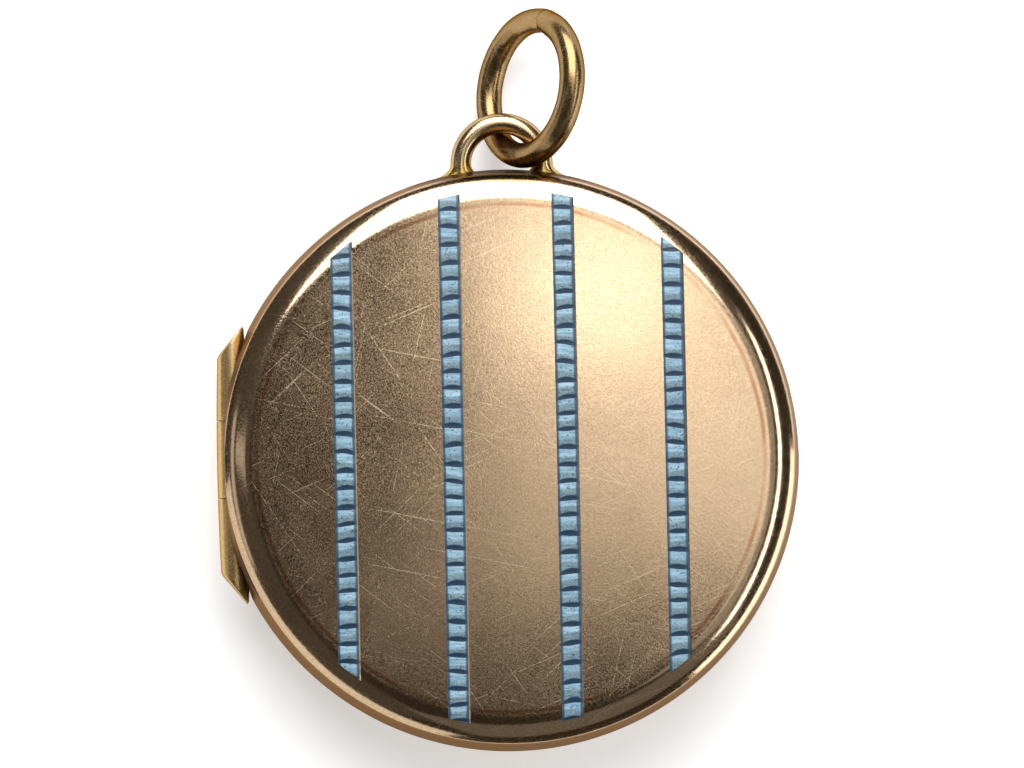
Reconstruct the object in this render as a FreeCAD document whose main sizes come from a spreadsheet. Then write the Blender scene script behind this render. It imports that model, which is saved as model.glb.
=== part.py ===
import FreeCAD, Part
import math
import os

import Sketcher
from FreeCAD import Placement, Rotation, Vector

# A round hinged locket in millimetres. It lies on its back cover: +Z points out of the front face,
# +Y towards the bail, and the hinge runs along Y on the -X side. The origin is the middle of the
# back cover's flat face. Heights called "depth" are measured from the parting plane into a half.

SIZES = {
    # outer form
    "outer_radius": 13.5,
    "thickness": 6.0,
    "shoulder_width": 1.45,
    "shoulder_radius": 1.35,
    "edge_taper": 0.3,
    "front_crown": 0.15,
    "shell_wall": 0.5,
    "parting_gap": 0.04,
    # rim rings inside the shells, and the snap collar that joins them
    "rim_depth": 1.4,
    "rim_bore_radius": 11.3,
    "ledge_radius": 10.5,
    "ledge_thickness": 0.25,
    "collar_inner_radius": 12.3,
    "collar_outer_radius": 12.6,
    "collar_height": 0.35,
    "collar_clearance": 0.1,
    "collar_end_x": -10.5,
    # what each half holds
    "insert_radius": 11.25,
    "photo_opening_radius": 10.3,
    "photo_frame_depth": 0.15,
    "photo_frame_height": 0.6,
    "window_thickness": 0.25,
    "card_thickness": 0.15,
    # enamel inlays
    "stripe_width": 0.97,
    "stripe_reach": 12.4,
    "stripe_depth": 0.2,
    "inner_stripe_offset": 2.63,
    "outer_stripe_offset": 7.65,
    # nail nick in the front rim
    "nick_angle": 7.0,
    "nick_half_length": 1.65,
    "nick_depth": 0.25,
    "nick_height": 1.2,
    # hinge
    "hinge_axis_x": -12.75,
    "barrel_radius": 0.75,
    "barrel_clearance": 0.1,
    "barrel_half_length": 6.45,
    "bevel_length": 1.4,
    "middle_knuckle_length": 3.6,
    "middle_knuckle_shift": 0.25,
    "knuckle_gap": 0.04,
    "pin_radius": 0.35,
    "pin_clearance": 0.03,
    "pin_half_length": 5.0,
    "relief_slope": 0.2,
    # bail loop and jump ring
    "bail_radius": 1.9,
    "bail_wire_radius": 0.485,
    "bail_centre_y": 13.8,
    "bail_centre_z": 2.46,
    "bail_leg_length": 0.65,
    "ring_radius": 3.165,
    "ring_wire_radius": 0.6,
    "ring_centre_x": 1.386,
    "ring_centre_y": 17.26,
    "ring_centre_z": 3.21,
    "ring_tilt": 55.2,
    "ring_lean": -8.1,
}

BACK, FRONT = -1, 1
TOOL_REACH = 2.0

doc = FreeCAD.newDocument("Locket")


class Size:
    """A number worked out from the sheet, with the formula that keeps it bound to the sheet."""

    def __init__(self, value, formula):
        self.value = value
        self.formula = formula

    def joined(self, sign, other, value):
        return Size(value, f"({self.formula} {sign} {as_size(other).formula})")

    def __add__(self, other):
        return self.joined("+", other, self.value + as_size(other).value)

    def __sub__(self, other):
        return self.joined("-", other, self.value - as_size(other).value)

    def __mul__(self, other):
        return self.joined("*", other, self.value * as_size(other).value)

    def __truediv__(self, other):
        return self.joined("/", other, self.value / as_size(other).value)

    def __neg__(self):
        return Size(-self.value, f"(0 - {self.formula})")

    def root(self):
        return Size(math.sqrt(self.value), f"sqrt({self.formula})")


def as_size(number):
    return number if isinstance(number, Size) else Size(float(number), repr(float(number)))


def make_sheet():
    """The driving dimensions, one named cell each."""
    sheet = doc.addObject("Spreadsheet::Sheet", "Sizes")
    for row, (alias, value) in enumerate(SIZES.items(), start=1):
        sheet.set(f"A{row}", alias.replace("_", " "))
        sheet.set(f"B{row}", str(value))
        sheet.setAlias(f"B{row}", alias)
    doc.recompute()
    return {alias: Size(float(sheet.get(alias)), f"Sizes.{alias}") for alias in SIZES}


S = make_sheet()
MID = S["thickness"] / 2
PARTING = S["parting_gap"] / 2
FACE_RADIUS = S["outer_radius"] - S["shoulder_width"]
SEAM_LOW = S["middle_knuckle_shift"] - S["middle_knuckle_length"] / 2
SEAM_HIGH = S["middle_knuckle_shift"] + S["middle_knuckle_length"] / 2
HALF_GAP = S["knuckle_gap"] / 2
ALONG_Y = Rotation(Vector(1, 0, 0), -90)


def level(side, depth):
    """The height of a point that lies this deep in a half, above or below the parting plane."""
    return MID + as_size(depth) if side == FRONT else MID - as_size(depth)


def bind(item, name, size):
    item.setExpression(name, as_size(size).formula)


def place(item, x, y, z, rotation=None):
    """Puts an object at a point that stays bound to the sheet."""
    sizes = [as_size(number) for number in (x, y, z)]
    base = Vector(*(size.value for size in sizes))
    item.Placement = Placement(base, rotation or Rotation())
    for axis, size in zip("xyz", sizes):
        bind(item, f"Placement.Base.{axis}", size)
    return item


def add_cylinder(name, radius, length, at, rotation=None):
    item = doc.addObject("Part::Cylinder", name)
    bind(item, "Radius", radius)
    bind(item, "Height", length)
    return place(item, *at, rotation)


def add_box(name, size, at, rotation=None):
    item = doc.addObject("Part::Box", name)
    for side, length in zip(("Length", "Width", "Height"), size):
        bind(item, side, length)
    return place(item, *at, rotation)


def add_torus(name, radius, wire_radius):
    item = doc.addObject("Part::Torus", name)
    bind(item, "Radius1", radius)
    bind(item, "Radius2", wire_radius)
    return item


def fuse(name, shapes):
    item = doc.addObject("Part::MultiFuse", name)
    item.Shapes = shapes
    return item


def cut(name, base, tools):
    """The base with every tool taken away from it."""
    item = doc.addObject("Part::Cut", name)
    item.Base = base
    item.Tool = tools[0] if len(tools) == 1 else fuse(f"{name}_tools", tools)
    return item


def arc_between(start, end, radius):
    """The shorter arc from start to end that turns left round its centre."""
    chord = end - start
    middle = (start + end) * 0.5
    rise = math.sqrt(radius * radius - chord.Length ** 2 / 4)
    across = Vector(-chord.y, chord.x, 0).normalize()
    centre = middle + across * rise
    first = math.atan2(start.y - centre.y, start.x - centre.x)
    last = math.atan2(end.y - centre.y, end.x - centre.x)
    return Part.ArcOfCircle(Part.Circle(centre, Vector(0, 0, 1), radius), first, last)


def add_side(sketch, start, end, radius):
    """One side of an outline, straight or an arc. A negative radius turns right round its centre.
    Gives the ends of the new geometry at start and at end."""
    if radius is None:
        index = sketch.addGeometry(Part.LineSegment(start, end), False)
        return (index, 1), (index, 2)
    if radius.value > 0:
        index = sketch.addGeometry(arc_between(start, end, radius.value), False)
        ends = (index, 1), (index, 2)
        bound = radius
    else:
        index = sketch.addGeometry(arc_between(end, start, -radius.value), False)
        ends = (index, 2), (index, 1)
        bound = -radius
    number = sketch.addConstraint(Sketcher.Constraint("Radius", index, bound.value))
    sketch.setExpression(f"Constraints[{number}]", bound.formula)
    return ends


def pin_corner(sketch, corner, x, y):
    """Holds a corner at its place: on an axis where a coordinate is 0, else at a bound distance."""
    for kind, size, axis in (("DistanceX", as_size(x), -2), ("DistanceY", as_size(y), -1)):
        if size.value == 0:
            sketch.addConstraint(Sketcher.Constraint("PointOnObject", *corner, axis))
        else:
            fixed = Sketcher.Constraint(kind, -1, 1, *corner, size.value)
            number = sketch.addConstraint(fixed)
            sketch.setExpression(f"Constraints[{number}]", size.formula)


def origin_plane(body, role):
    return next(item for item in body.Origin.OriginFeatures if item.Role == role)


def add_outline(body, name, corners):
    """A closed outline in the XZ plane. Each corner is (x, z), or (x, z, radius) where the side
    that leads to the next corner is an arc."""
    sketch = body.newObject("Sketcher::SketchObject", name)
    sketch.AttachmentSupport = (origin_plane(body, "XZ_Plane"), [""])
    sketch.MapMode = "FlatFace"
    points = [Vector(as_size(corner[0]).value, as_size(corner[1]).value, 0) for corner in corners]
    sides = []
    for number, corner in enumerate(corners):
        radius = corner[2] if len(corner) == 3 else None
        following = points[(number + 1) % len(points)]
        sides.append(add_side(sketch, points[number], following, radius))
    for number, corner in enumerate(corners):
        sketch.addConstraint(Sketcher.Constraint("Coincident", *sides[number - 1][1], *sides[number][0]))
        pin_corner(sketch, sides[number][0], corner[0], corner[1])
    return sketch


def turned_body(name, corners):
    """A body turned about the Z axis from an outline of radius and height."""
    body = doc.addObject("PartDesign::Body", name)
    sketch = add_outline(body, f"{name}_outline", corners)
    turning = body.newObject("PartDesign::Revolution", f"{name}_turning")
    turning.Profile = (sketch, [""])
    turning.ReferenceAxis = (sketch, ["V_Axis"])
    turning.Angle = 360
    sketch.Visibility = False
    return body


def cut_through(body, name, corners, width):
    """Takes a prism that runs along Y out of a body, and makes sure that it took something."""
    doc.recompute()
    before = body.Shape.Volume
    sketch = add_outline(body, f"{name}_outline", corners)
    pocket = body.newObject("PartDesign::Pocket", name)
    pocket.Profile = (sketch, [""])
    pocket.Midplane = True
    bind(pocket, "Length", width)
    sketch.Visibility = False
    doc.recompute()
    if body.Shape.Volume >= before:
        raise RuntimeError(f"{name} cut nothing")


def named(item, label):
    item.Label = label
    return item


def crown_radius(face_radius, crown):
    return (face_radius * face_radius + crown * crown) / (crown * 2)


def shoulder_drop(across, radius):
    """How far a round shoulder that leaves the face level has fallen at a distance past it."""
    return radius - (radius * radius - across * across).root()


def shell_body(name, side):
    """A cover before its cuts: a flat or slightly crowned face, a round shoulder that ends at a
    crease, and a side wall that widens a little towards the parting plane."""
    wall, width, taper = S["shell_wall"], S["shoulder_width"], S["edge_taper"]
    crown = S["front_crown"] if side == FRONT else as_size(0)
    turn = 1 if side == FRONT else -1
    drop = shoulder_drop(width - taper, S["shoulder_radius"])
    outer, inner = S["outer_radius"], S["outer_radius"] - wall
    edge = level(side, PARTING)
    corners = [
        (outer, edge),
        (outer - taper, level(side, MID - crown - drop), S["shoulder_radius"] * turn),
        (FACE_RADIUS, level(side, MID - crown)),
        (0, level(side, MID)),
        (0, level(side, MID - wall)),
        (FACE_RADIUS, level(side, MID - crown - wall), -(width - wall) * turn),
        (inner, level(side, MID - crown - width)),
        (inner, edge),
    ]
    if side == FRONT:
        corners[2] += (crown_radius(FACE_RADIUS, crown),)
        corners[4] += (-crown_radius(FACE_RADIUS, crown),)
    body = turned_body(name, corners)
    cut_through(body, f"{name}_hinge_relief", relief_corners(side), FACE_RADIUS)
    return body


def relief_corners(side):
    """The wedge outside the hinge axis that lets the halves fold back past each other."""
    axis = S["hinge_axis_x"]
    far = axis - TOOL_REACH
    height = MID + TOOL_REACH / 10
    top = level(side, height)
    return [(axis, MID), (axis - S["relief_slope"] * height, top), (far, top), (far, MID)]


def barrel(name, radius, low, high):
    """A cylinder about the hinge axis between two places along Y."""
    return add_cylinder(name, radius, high - low, (S["hinge_axis_x"], low, MID), ALONG_Y)


def hinge_seats(prefix, side):
    """The hollows for the knuckles: an exact seat for a half's own, room for the other half's."""
    exact = S["barrel_radius"]
    roomy = S["barrel_radius"] + S["barrel_clearance"]
    end = S["barrel_half_length"] + S["barrel_clearance"]
    shift = HALF_GAP if side == FRONT else -HALF_GAP
    low, high = SEAM_LOW + shift, SEAM_HIGH - shift
    middle, ends = (exact, roomy) if side == FRONT else (roomy, exact)
    return [
        barrel(f"{prefix}_seat_lower", ends, -end, low),
        barrel(f"{prefix}_seat_middle", middle, low, high),
        barrel(f"{prefix}_seat_upper", ends, high, end),
    ]


def rim_body(name, side):
    """The ring inside a shell's wall: a ledge for the card, and the collar or the groove for it."""
    wall = S["outer_radius"] - S["shell_wall"]
    spare = S["collar_clearance"] if side == FRONT else as_size(0)
    step = level(side, S["collar_height"] + S["parting_gap"] + spare) if side == FRONT else None
    step = step or level(BACK, -S["collar_height"])
    edge = level(side, PARTING)
    base = level(side, S["rim_depth"])
    ledge = level(side, S["rim_depth"] - S["ledge_thickness"])
    corners = [
        (S["ledge_radius"], base),
        (wall, base),
        (wall, edge),
        (S["collar_outer_radius"] + spare, edge),
        (S["collar_outer_radius"] + spare, step),
        (S["collar_inner_radius"] - spare, step),
        (S["collar_inner_radius"] - spare, edge),
        (S["rim_bore_radius"], edge),
        (S["rim_bore_radius"], ledge),
        (S["ledge_radius"], ledge),
    ]
    body = turned_body(name, corners)
    cut_through(body, f"{name}_hinge_relief", relief_corners(side), FACE_RADIUS)
    return body


def collar_gap():
    """Clears the snap collar beside the hinge, where it would strike the other half."""
    end = S["collar_end_x"]
    far = S["outer_radius"] + TOOL_REACH
    size = (far + end, far * 2, S["collar_height"] + TOOL_REACH)
    return add_box("collar_gap", size, (-far, -far, level(BACK, PARTING)))


def insert_disc(label, side, depth, thickness):
    """A flat disc of a half's contents: the window or the photo card."""
    bottom = level(side, depth) if side == FRONT else level(side, depth + thickness)
    return named(add_cylinder(label, S["insert_radius"], thickness, (0, 0, bottom)), label)


def photo_frame(label, side):
    """The lift-out ring that holds the window and the card against the ledge."""
    depth, height = S["photo_frame_depth"], S["photo_frame_height"]
    bottom = level(side, depth) if side == FRONT else level(side, depth + height)
    disc = add_cylinder(f"{label}_disc", S["insert_radius"], height, (0, 0, bottom))
    opening = add_cylinder(f"{label}_opening", S["photo_opening_radius"], height, (0, 0, bottom))
    return named(cut(label, disc, [opening]), label)


def contents(prefix, side):
    window_depth = S["photo_frame_depth"] + S["photo_frame_height"]
    card_depth = window_depth + S["window_thickness"]
    return [
        photo_frame(f"{prefix}_photo_frame", side),
        insert_disc(f"{prefix}_window", side, window_depth, S["window_thickness"]),
        insert_disc(f"{prefix}_photo_card", side, card_depth, S["card_thickness"]),
    ]


def inlay_body():
    """The skin of the front face that the stripes are cut from, as deep as their channels."""
    depth, reach, top = S["stripe_depth"], S["stripe_reach"], S["thickness"]
    shoulder = S["shoulder_radius"]
    face = top - S["front_crown"]
    beyond = reach - FACE_RADIUS
    curve = crown_radius(FACE_RADIUS, S["front_crown"])
    return turned_body("inlay_skin", [
        (reach, face - shoulder_drop(beyond, shoulder), shoulder),
        (FACE_RADIUS, face, curve),
        (0, top),
        (0, top - depth, -curve),
        (FACE_RADIUS, face - depth, -(shoulder - depth)),
        (reach, face - depth - shoulder_drop(beyond, shoulder - depth)),
    ])


def enamel_stripe(label, skin, offset):
    """One inlay, with ends that follow the edge of the face."""
    width, reach = S["stripe_width"], S["stripe_reach"]
    size = (width, reach * 2, S["thickness"])
    strip = add_box(f"{label}_strip", size, (offset - width / 2, -reach, MID))
    item = doc.addObject("Part::Common", label)
    item.Base = strip
    item.Tool = skin
    return named(item, label)


def enamel_stripes():
    skin = inlay_body()
    inner, outer = S["inner_stripe_offset"], S["outer_stripe_offset"]
    offsets = {"outer_left": -outer, "inner_left": -inner, "inner_right": inner, "outer_right": outer}
    return [enamel_stripe(f"enamel_stripe_{name}", skin, x) for name, x in offsets.items()]


def nail_nick():
    """A round tool that bites a shallow lens out of the front rim."""
    depth, half = S["nick_depth"], S["nick_half_length"]
    radius = (half * half + depth * depth) / (depth * 2)
    distance = S["outer_radius"] - depth + radius
    angle = math.radians(S["nick_angle"].value)
    at = (distance * math.cos(angle), distance * math.sin(angle), MID)
    return add_cylinder("nail_nick", radius, S["nick_height"], at)


def end_knuckle(label, side, pin):
    """A knuckle of the back half, with its outer corner bevelled towards the rim."""
    end = S["barrel_half_length"]
    if side > 0:
        blank = barrel(f"{label}_blank", S["barrel_radius"], SEAM_HIGH + HALF_GAP, end)
    else:
        blank = barrel(f"{label}_blank", S["barrel_radius"], -end, SEAM_LOW - HALF_GAP)
    outside = S["hinge_axis_x"] - S["barrel_radius"]
    reach = TOOL_REACH
    start = end - S["bevel_length"]
    size = (reach * 3, reach, reach)
    if side > 0:
        at = (outside - reach / 2, start - reach / 2, MID - reach / 2)
        bevel = add_box(f"{label}_bevel", size, at, Rotation(Vector(0, 0, 1), 45))
    else:
        at = (outside + reach, -start - reach, MID - reach / 2)
        bevel = add_box(f"{label}_bevel", size, at, Rotation(Vector(0, 0, 1), 135))
    return named(cut(label, blank, [bevel, pin]), label)


def hinge():
    half = S["pin_half_length"]
    pin = named(barrel("hinge_pin", S["pin_radius"], -half, half), "hinge_pin")
    low, high = SEAM_LOW + HALF_GAP, SEAM_HIGH - HALF_GAP
    blank = barrel("hinge_knuckle_middle_blank", S["barrel_radius"], low, high)
    bore = barrel("hinge_knuckle_middle_bore", S["pin_radius"] + S["pin_clearance"], low, high)
    middle = named(cut("hinge_knuckle_middle", blank, [bore]), "hinge_knuckle_middle")
    upper = end_knuckle("hinge_knuckle_upper", 1, pin)
    lower = end_knuckle("hinge_knuckle_lower", -1, pin)
    return [upper, middle, lower, pin]


def bail_loop(back_shell):
    """Half a ring of wire on two short legs that end on the back cover's wall."""
    height, length = S["bail_centre_z"], S["bail_leg_length"]
    middle = S["bail_centre_y"]
    arch = place(add_torus("bail_arch", S["bail_radius"], S["bail_wire_radius"]), 0, middle, height)
    arch.Angle3 = 180
    legs = []
    for name, x in (("bail_leg_left", -S["bail_radius"]), ("bail_leg_right", S["bail_radius"])):
        at = (x, middle - length, height)
        legs.append(add_cylinder(name, S["bail_wire_radius"], length, at, ALONG_Y))
    return named(cut("bail_loop", fuse("bail_wire", [arch] + legs), [back_shell]), "bail_loop")


def jump_ring():
    """The wire ring that hangs in the bail loop and leans on the rim."""
    ring = add_torus("jump_ring", S["ring_radius"], S["ring_wire_radius"])
    lean = Rotation(Vector(0, 0, 1), S["ring_lean"].value)
    tilt = Rotation(Vector(0, 1, 0), -S["ring_tilt"].value)
    centre = (S["ring_centre_x"], S["ring_centre_y"], S["ring_centre_z"])
    return named(place(ring, *centre, lean.multiply(tilt)), "jump_ring")


def half(prefix, side, cover_cuts, rim_cuts):
    """One half of the case: its shell before its cuts, then its cover, its rim ring and what it
    holds."""
    seats = hinge_seats(prefix, side)
    shell = shell_body(f"{prefix}_shell", side)
    rim = rim_body(f"{prefix}_rim", side)
    cover = named(cut(f"{prefix}_cover", shell, seats + cover_cuts), f"{prefix}_cover")
    ring = named(cut(f"{prefix}_rim_ring", rim, seats + rim_cuts), f"{prefix}_rim_ring")
    return shell, [cover, ring] + contents(prefix, side)


def build():
    stripes = enamel_stripes()
    back_shell, back_pieces = half("back", BACK, [], [collar_gap()])
    front_pieces = half("front", FRONT, stripes + [nail_nick()], [])[1]
    return back_pieces + front_pieces + stripes + hinge() + [bail_loop(back_shell), jump_ring()]


def check(pieces):
    """Stops if any object failed or if a sub-part has no sound solid."""
    for item in doc.Objects:
        if "Invalid" in item.State or "Error" in item.State:
            raise RuntimeError(f"{item.Label} failed: {item.State}")
    for item in pieces:
        if item.Shape.isNull() or not item.Shape.isValid() or len(item.Shape.Solids) != 1:
            raise RuntimeError(f"{item.Label} isn't one sound solid")


def export(pieces):
    os.makedirs("parts", exist_ok=True)
    for item in pieces:
        item.Shape.exportStep(f"parts/{item.Label}.step")
        box = item.Shape.BoundBox
        spans = f"{box.XLength:.2f} x {box.YLength:.2f} x {box.ZLength:.2f}"
        print(f"{item.Label}: {spans} mm, {item.Shape.Volume:.2f} mm3")


PIECES = build()
doc.recompute()
check(PIECES)
export(PIECES)
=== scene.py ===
import math
import random

import bmesh
import bpy
import numpy as np
from mathutils import Matrix, Vector


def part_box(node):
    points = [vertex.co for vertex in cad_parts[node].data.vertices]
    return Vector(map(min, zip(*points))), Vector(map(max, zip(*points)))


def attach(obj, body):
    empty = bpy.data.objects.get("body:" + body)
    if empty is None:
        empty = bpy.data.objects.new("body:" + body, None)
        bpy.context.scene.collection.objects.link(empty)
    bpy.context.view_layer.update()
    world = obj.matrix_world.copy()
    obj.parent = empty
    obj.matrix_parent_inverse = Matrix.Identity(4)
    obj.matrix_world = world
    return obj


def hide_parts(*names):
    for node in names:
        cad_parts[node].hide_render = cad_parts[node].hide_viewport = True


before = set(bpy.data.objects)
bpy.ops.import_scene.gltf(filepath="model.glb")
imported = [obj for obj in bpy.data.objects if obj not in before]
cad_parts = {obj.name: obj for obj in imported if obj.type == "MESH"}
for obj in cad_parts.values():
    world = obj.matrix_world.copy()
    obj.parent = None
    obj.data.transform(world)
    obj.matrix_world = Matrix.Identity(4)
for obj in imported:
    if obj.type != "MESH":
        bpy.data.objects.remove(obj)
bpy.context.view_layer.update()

# Lengths in this script are millimetres in the frame of the CAD model, and turn into metres when
# a mesh is made. Heights called "depth" are measured from the parting plane into a half.
MM = 0.001
BACK, FRONT = -1, 1


def node_box(name):
    """The lowest and highest corner of a CAD node, in millimetres."""
    low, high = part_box(name)
    return Vector(low) / MM, Vector(high) / MM


# ---------------------------------------------------------------- sizes, from the CAD nodes

_, back_high = node_box("back_cover")
front_low, front_high = node_box("front_cover")
OUTER = front_high.y
MID = (back_high.z + front_low.z) / 2
PARTING = front_low.z - MID
HALF_THICKNESS = front_high.z - MID
WALL = 0.5
INNER = OUTER - WALL

# The face is a shallow crown, the shoulder a round that leaves it at a soft crease, and the side
# wall widens a little towards the parting plane.
FACE_EDGE = 11.9
FACE_CROWN = 0.35
CREASE = OUTER - 0.32
SHOULDER_START = math.asin(2 * FACE_CROWN / FACE_EDGE)
SHOULDER_END = math.radians(45)
EDGE_ROUND = 0.07

middle_low, middle_high = node_box("hinge_knuckle_middle")
upper_low, upper_high = node_box("hinge_knuckle_upper")
lower_low, lower_high = node_box("hinge_knuckle_lower")
HINGE_X = (middle_low.x + middle_high.x) / 2
BARREL = (middle_high.x - middle_low.x) / 2
BARREL_END = upper_high.y
BARREL_CLEARANCE = 0.1
BARREL_BOW = 0.2
BEVEL = 1.4
RELIEF_SLOPE = 0.2

stripe_boxes = {
    name: node_box(f"enamel_stripe_{name}")
    for name in ("outer_left", "inner_left", "inner_right", "outer_right")
}
STRIPE_REACH = 12.4
CHANNELS = [(low.x, high.x) for low, high in stripe_boxes.values()]
CHANNEL_DEPTH = 0.16
LIP = 0.06
ENAMEL_SINK = 0.02
ENAMEL_LIFT = 0.03

# The ring soldered into each wall. The back one has the snap collar, which stands out of the
# parting plane, and the front one has the groove for it.
RIM_OUTSIDE = INNER - 0.005
RIM_BORE = 11.3
RIM_DEPTH = 1.4
LEDGE_OPENING = 10.5
LEDGE_DEPTH = 1.15
COLLAR = (12.3, 12.6)
COLLAR_TIP = -0.35
GROOVE = (12.2, 12.7)
GROOVE_DEPTH = 0.49

# What lies in the bore of a rim ring, between the parting plane and the ledge.
CONTENTS_RADIUS = 11.24
FRAME_OPENING = 10.3
FRAME_SPAN = (0.15, 0.75)
WINDOW_SPAN = (0.75, 1.0)
CARD_SPAN = (1.005, 1.15)

# The wires are drawn a share thinner than the CAD's, so that their lumps stay inside its box. The
# ring's tilt and lean are degrees.
bail_low, bail_high = node_box("bail_loop")
BAIL_WIRE = (bail_high.z - bail_low.z) / 2
BAIL_RADIUS = (bail_high.x - bail_low.x) / 2 - BAIL_WIRE
BAIL_CENTRE = Vector((0, bail_high.y - BAIL_RADIUS - BAIL_WIRE, (bail_low.z + bail_high.z) / 2))
BAIL_SHARE = 0.985

ring_low, ring_high = node_box("jump_ring")
RING_CENTRE = (ring_low + ring_high) / 2
RING_RADIUS = 3.165
RING_WIRE = 0.6
RING_SHARE = 0.978
RING_TILT = 55.2
RING_LEAN = -8.1


def level(side, depth):
    """The height in the frame of a depth in one half."""
    return MID + side * depth


# ---------------------------------------------------------------- mesh helpers

def ring_faces(rows, columns, closed_rows=False, closed_columns=True):
    """Quads between the points of a grid that is stored row by row."""
    faces = []
    for row in range(rows if closed_rows else rows - 1):
        below = row * columns
        above = (row + 1) % rows * columns
        for column in range(columns if closed_columns else columns - 1):
            following = (column + 1) % columns
            faces.append((below + column, below + following, above + following, above + column))
    return faces


def to_mesh(name, points, faces):
    """A checked mesh of points in millimetres."""
    mesh = bpy.data.meshes.new(name)
    mesh.from_pydata([tuple(point) for point in points], [], faces)
    mesh.validate()
    return mesh


def cut_with(mesh, tools):
    """The mesh with each tool mesh taken out of it."""
    holder = bpy.data.objects.new("cut_holder", mesh)
    bpy.context.scene.collection.objects.link(holder)
    helpers = []
    for tool in tools:
        helper = bpy.data.objects.new("cut_tool", tool)
        bpy.context.scene.collection.objects.link(helper)
        modifier = holder.modifiers.new("cut", "BOOLEAN")
        modifier.operation = "DIFFERENCE"
        modifier.solver = "EXACT"
        modifier.object = helper
        helpers.append(helper)
    bpy.context.view_layer.update()
    shaped = holder.evaluated_get(bpy.context.evaluated_depsgraph_get())
    result = bpy.data.meshes.new_from_object(shaped)
    for item in helpers + [holder]:
        bpy.data.objects.remove(item)
    return result


def add_piece(name, mesh, material, body, nodes=(), sharp_angle=32):
    """Turns a mesh into a piece in metres that rides on a body and stands for CAD nodes."""
    mesh.transform(Matrix.Scale(MM, 4))
    mesh.name = name
    piece = bpy.data.objects.new(name, mesh)
    bpy.context.scene.collection.objects.link(piece)
    mesh.materials.clear()
    mesh.materials.append(material)
    mesh.polygons.foreach_set("use_smooth", [True] * len(mesh.polygons))
    mesh.set_sharp_from_angle(angle=math.radians(sharp_angle))
    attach(piece, body)
    if nodes:
        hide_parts(*nodes)
    return piece


def arc(centre, radius, start, end, steps):
    """Points of an arc in the plane, from one angle to another, both in radians."""
    angles = np.linspace(start, end, steps + 1)
    return [(centre[0] + radius * math.cos(a), centre[1] + radius * math.sin(a)) for a in angles]


def lathe(name, profile, columns=240):
    """A closed solid turned about Z. The profile is a closed loop of (radius, height), or an open
    line whose two ends lie on the axis."""
    solid = profile[0][0] == 0
    turned = profile[1:-1] if solid else profile
    turn = np.linspace(0, 2 * math.pi, columns, endpoint=False)
    points = [(r * math.cos(a), r * math.sin(a), z) for r, z in turned for a in turn]
    faces = ring_faces(len(turned), columns, closed_rows=not solid)
    if solid:
        for end, row in ((profile[0], 0), (profile[-1], len(turned) - 1)):
            pole = len(points)
            points.append((0, 0, end[1]))
            for column in range(columns):
                pair = (row * columns + column, row * columns + (column + 1) % columns)
                faces.append((pole, pair[1], pair[0]) if row == 0 else (pole, pair[0], pair[1]))
    return to_mesh(name, points, faces)


def outward(mesh):
    """Turns every face of a closed mesh outwards."""
    shape = bmesh.new()
    shape.from_mesh(mesh)
    bmesh.ops.recalc_face_normals(shape, faces=shape.faces)
    shape.to_mesh(mesh)
    shape.free()
    return mesh


def tube(name, path, radii, across, sides=40, capped=True):
    """A tube along a path. Each point has two radii, the second one in line with `across`."""
    path = [Vector(point) for point in path]
    points = []
    for number, point in enumerate(path):
        before = path[max(number - 1, 0)]
        after = path[min(number + 1, len(path) - 1)]
        along = (after - before).normalized()
        first = along.cross(across).normalized()
        second = along.cross(first).normalized()
        for side in range(sides):
            angle = 2 * math.pi * side / sides
            wide, thick = radii[number]
            points.append(point + first * math.cos(angle) * wide + second * math.sin(angle) * thick)
    faces = ring_faces(len(path), sides)
    if capped:
        faces.append(tuple(range(sides)))
        faces.append(tuple(reversed(range(len(points) - sides, len(points)))))
    return to_mesh(name, points, faces)


def prism(name, outline, low, high):
    """A prism along Y over a closed outline of (x, z)."""
    points = [(x, y, z) for y in (low, high) for x, z in outline]
    count = len(outline)
    faces = ring_faces(2, count)
    faces.append(tuple(range(count)))
    faces.append(tuple(range(2 * count - 1, count - 1, -1)))
    return outward(to_mesh(name, points, faces))


def round_outline(radius, count=96):
    """A circle of (x, z) about the hinge axis."""
    turn = np.linspace(0, 2 * math.pi, count, endpoint=False)
    return [(HINGE_X + radius * math.cos(a), MID + radius * math.sin(a)) for a in turn]


# ---------------------------------------------------------------- the case

def face_height(radius):
    """Height of the face above the mid plane at a distance from the middle, shoulder included."""
    if radius <= FACE_EDGE:
        return HALF_THICKNESS - FACE_CROWN * (radius / FACE_EDGE) ** 2
    bend = (CREASE - FACE_EDGE) / (math.sin(SHOULDER_END) - math.sin(SHOULDER_START))
    slope = math.sin(SHOULDER_START) + (radius - FACE_EDGE) / bend
    fall = bend * (math.cos(SHOULDER_START) - math.sqrt(max(0.0, 1 - slope * slope)))
    return HALF_THICKNESS - FACE_CROWN - fall


def outside_profile():
    """(radius, depth) from the reach of the stripes over the shoulder and down the wall."""
    shoulder = [STRIPE_REACH + (CREASE - STRIPE_REACH) * math.sin(t * math.pi / 2)
                for t in np.linspace(0, 1, 26)]
    line = [(radius, face_height(radius)) for radius in shoulder]
    bottom = PARTING + EDGE_ROUND
    lean = math.atan2(OUTER - CREASE, face_height(CREASE) - bottom)
    centre = (CREASE - EDGE_ROUND * math.sin(SHOULDER_END),
              face_height(CREASE) - EDGE_ROUND * math.cos(SHOULDER_END))
    line += arc(centre, EDGE_ROUND, math.pi / 2 - SHOULDER_END, lean, 6)[1:]
    start = line[-1]
    for t in np.linspace(0, 1, 21)[1:]:
        line.append((start[0] + (OUTER - start[0]) * t, start[1] + (bottom - start[1]) * t))
    return line + arc((OUTER - EDGE_ROUND, bottom), EDGE_ROUND, 0, -math.pi / 2, 5)[1:]


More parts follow.
